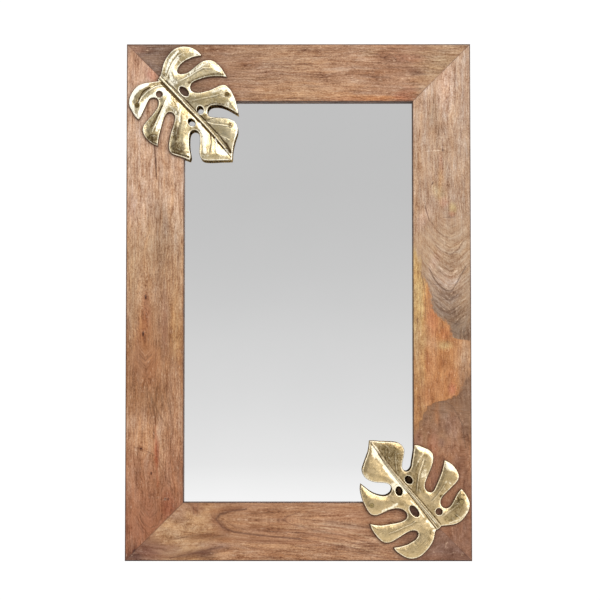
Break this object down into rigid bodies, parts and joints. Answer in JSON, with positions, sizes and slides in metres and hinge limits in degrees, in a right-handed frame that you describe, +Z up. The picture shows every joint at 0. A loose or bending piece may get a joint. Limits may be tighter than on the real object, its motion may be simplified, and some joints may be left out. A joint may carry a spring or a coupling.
{
  "type": "framed wall mirror",
  "caption": "Tall rectangular wall mirror in a wide mitred hardwood frame, with cast metal leaf ornaments over two corners, hung by D rings.",
  "frame": {"origin": "centre of the mirror, in the plane of the wall, which is the plane of the four bumper faces", "axes": "+X to the viewer's right, +Z up, and the face of the mirror looks along -Y, away from the wall"},
  "size_m": [0.61, 0.04, 0.914],
  "materials": {
    "wood_top_rail": "satin lacquer",
    "wood_bottom_rail": "satin lacquer",
    "wood_left_stile": "satin lacquer",
    "wood_right_stile": "satin lacquer",
    "dowel_wood": "plain beech, glued",
    "mirror": "clear silvered float glass",
    "rubber": "matte",
    "foam": "closed cell foam, matte",
    "board": "bare fibreboard",
    "zinc_steel": "bright zinc plate",
    "leaf_metal": "cast, polished by hand, dark patina in the hollows",
    "leaf_screw_metal": "antiqued brass plate"
  },
  "bodies": {
    "frame": {"top_rail": "wood_top_rail", "bottom_rail": "wood_bottom_rail", "left_stile": "wood_left_stile", "right_stile": "wood_right_stile", "dowels_top_left": "dowel_wood", "dowels_top_right": "dowel_wood", "dowels_bottom_left": "dowel_wood", "dowels_bottom_right": "dowel_wood", "mirror_glass": "mirror", "setting_block_left": "rubber", "setting_block_right": "rubber", "foam_tape_top": "foam", "foam_tape_bottom": "foam", "foam_tape_left": "foam", "foam_tape_right": "foam", "backing_board": "board", "backing_board_screws": "zinc_steel", "upper_leaf": "leaf_metal", "upper_leaf_screws": "leaf_screw_metal", "lower_leaf": "leaf_metal", "lower_leaf_screws": "leaf_screw_metal", "left_hanger_strap": "zinc_steel", "left_hanger_screws": "zinc_steel", "right_hanger_strap": "zinc_steel", "right_hanger_screws": "zinc_steel", "bumper_top_left": "rubber", "bumper_top_right": "rubber", "bumper_bottom_left": "rubber", "bumper_bottom_right": "rubber"},
    "left_ring": {"left_hanger_ring": "zinc_steel"},
    "right_ring": {"right_hanger_ring": "zinc_steel"}
  },
  "joints": [
    {"name": "left_ring_hinge", "type": "hinge", "parent": "frame", "child": "left_ring", "pos_m": [-0.254, -0.0032, 0.25], "axis": [1, 0, 0], "range_deg": [0, 180]},
    {"name": "right_ring_hinge", "type": "hinge", "parent": "frame", "child": "right_ring", "pos_m": [0.254, -0.0032, 0.25], "axis": [1, 0, 0], "range_deg": [0, 180]}
  ]
}
